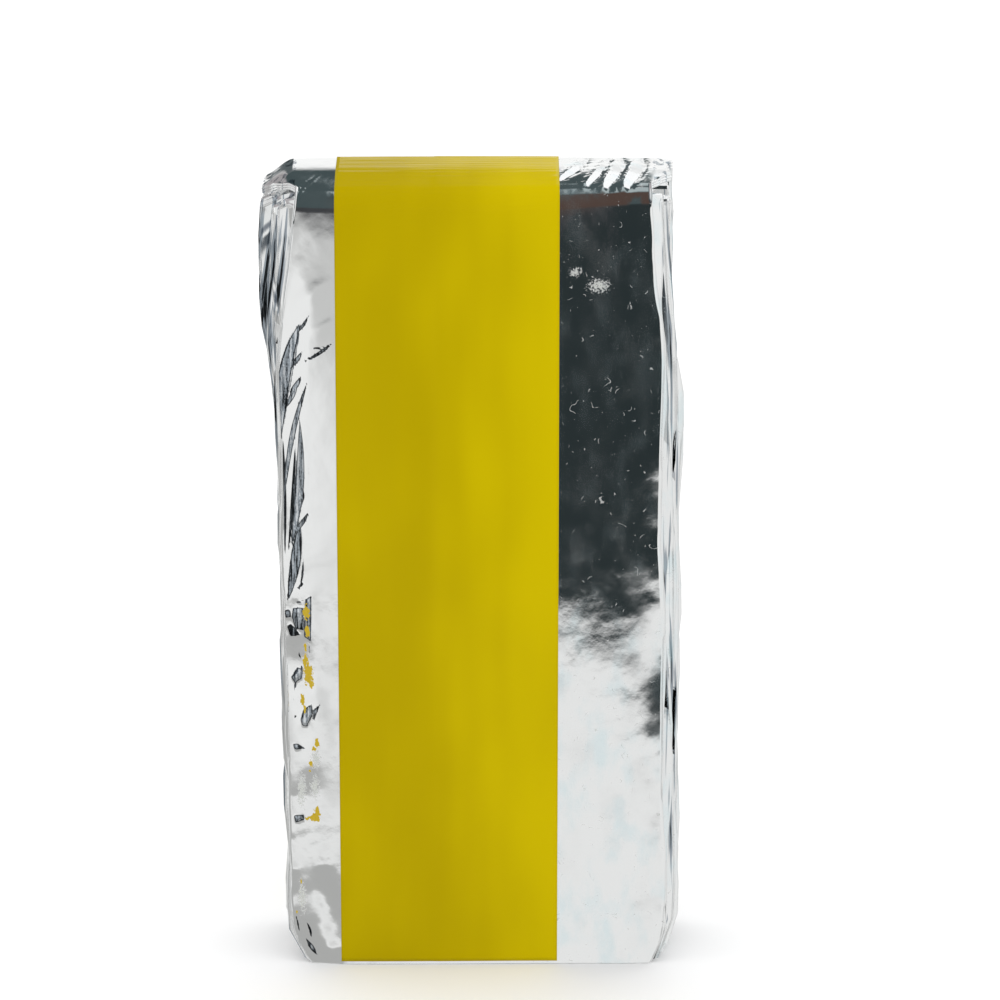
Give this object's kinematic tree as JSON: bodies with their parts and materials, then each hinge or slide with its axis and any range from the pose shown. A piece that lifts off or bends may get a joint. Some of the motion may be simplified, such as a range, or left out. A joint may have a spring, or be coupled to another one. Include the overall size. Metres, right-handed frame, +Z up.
{
  "type": "folded emergency sleeping bag",
  "caption": "Upright bundle of a metallised film sleeping bag folded back and forth, with a yellow seam tape running over its top and down its front.",
  "frame": {"origin": "middle of the bundle's box at floor level", "axes": "+X across the bundle to the right seen from the front, -Y out of the front, +Z up"},
  "size_m": [0.0918, 0.0341, 0.1804],
  "materials": {
    "film": "polished",
    "tape": "gloss"
  },
  "bodies": {
    "root": {"foil_bag": "film", "seam_tape": "tape"}
  },
  "joints": []
}
